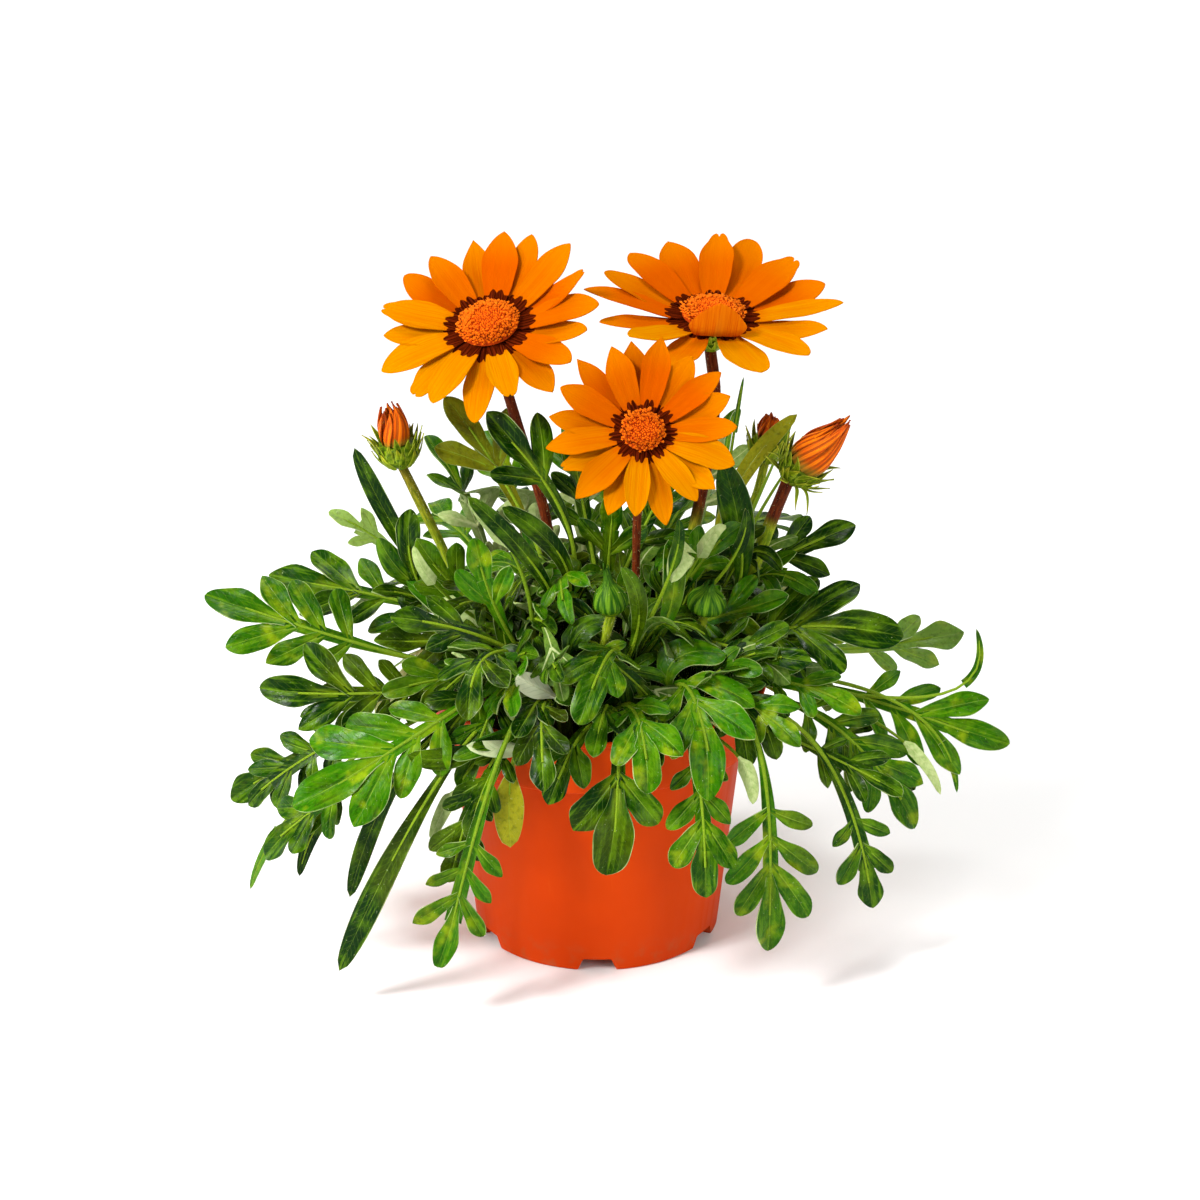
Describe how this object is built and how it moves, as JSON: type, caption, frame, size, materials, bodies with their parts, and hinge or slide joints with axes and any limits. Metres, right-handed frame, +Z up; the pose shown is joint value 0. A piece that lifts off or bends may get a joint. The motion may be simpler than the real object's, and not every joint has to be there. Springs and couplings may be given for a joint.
{
  "type": "potted flowering plant",
  "caption": "Bushy flowering plant with lobed green leaves, orange daisy-like blooms and buds, in a tapered round plastic pot.",
  "frame": {"origin": "centre of the flat pad under the pot, on the surface that the pot stands on", "axes": "+Z up along the pot's axis; the front, from which the blooms face the viewer, looks along -Y; +X to the viewer's right"},
  "size_m": [0.282, 0.2154, 0.2472],
  "materials": {
    "pot_plastic": "satin",
    "peat": "matte",
    "leaf": "satin",
    "flower_stem": "matte",
    "petal": "satin",
    "floret_disc": "matte",
    "bud_green": "matte"
  },
  "bodies": {
    "root": {"bloom_front_disc": "floret_disc", "bloom_front_petals": "petal", "bloom_front_stem": "flower_stem", "bloom_left_disc": "floret_disc", "bloom_left_petals": "petal", "bloom_left_stem": "flower_stem", "bloom_right_disc": "floret_disc", "bloom_right_petals": "petal", "bloom_right_stem": "flower_stem", "bud_back_petals": "petal", "bud_back_stem": "bud_green", "bud_front_stem": "bud_green", "bud_left_petals": "petal", "bud_left_stem": "bud_green", "bud_middle_stem": "bud_green", "bud_right_petals": "petal", "bud_right_stem": "bud_green", "pot": "pot_plastic", "shoot_back_1": "leaf", "shoot_back_2": "leaf", "shoot_back_3": "leaf", "shoot_back_4": "leaf", "shoot_back_5": "leaf", "shoot_centre": "leaf", "shoot_front": "leaf", "shoot_front_left": "leaf", "shoot_front_left_low": "leaf", "shoot_front_middle": "leaf", "shoot_front_right": "leaf", "shoot_high": "leaf", "shoot_left": "leaf", "shoot_left_back": "leaf", "shoot_left_middle": "leaf", "shoot_middle": "leaf", "shoot_middle_left": "leaf", "shoot_middle_right": "leaf", "shoot_right": "leaf", "shoot_right_back": "leaf", "shoot_right_front": "leaf", "shoot_right_high": "leaf", "shoot_right_low": "leaf", "soil": "peat"}
  },
  "joints": []
}
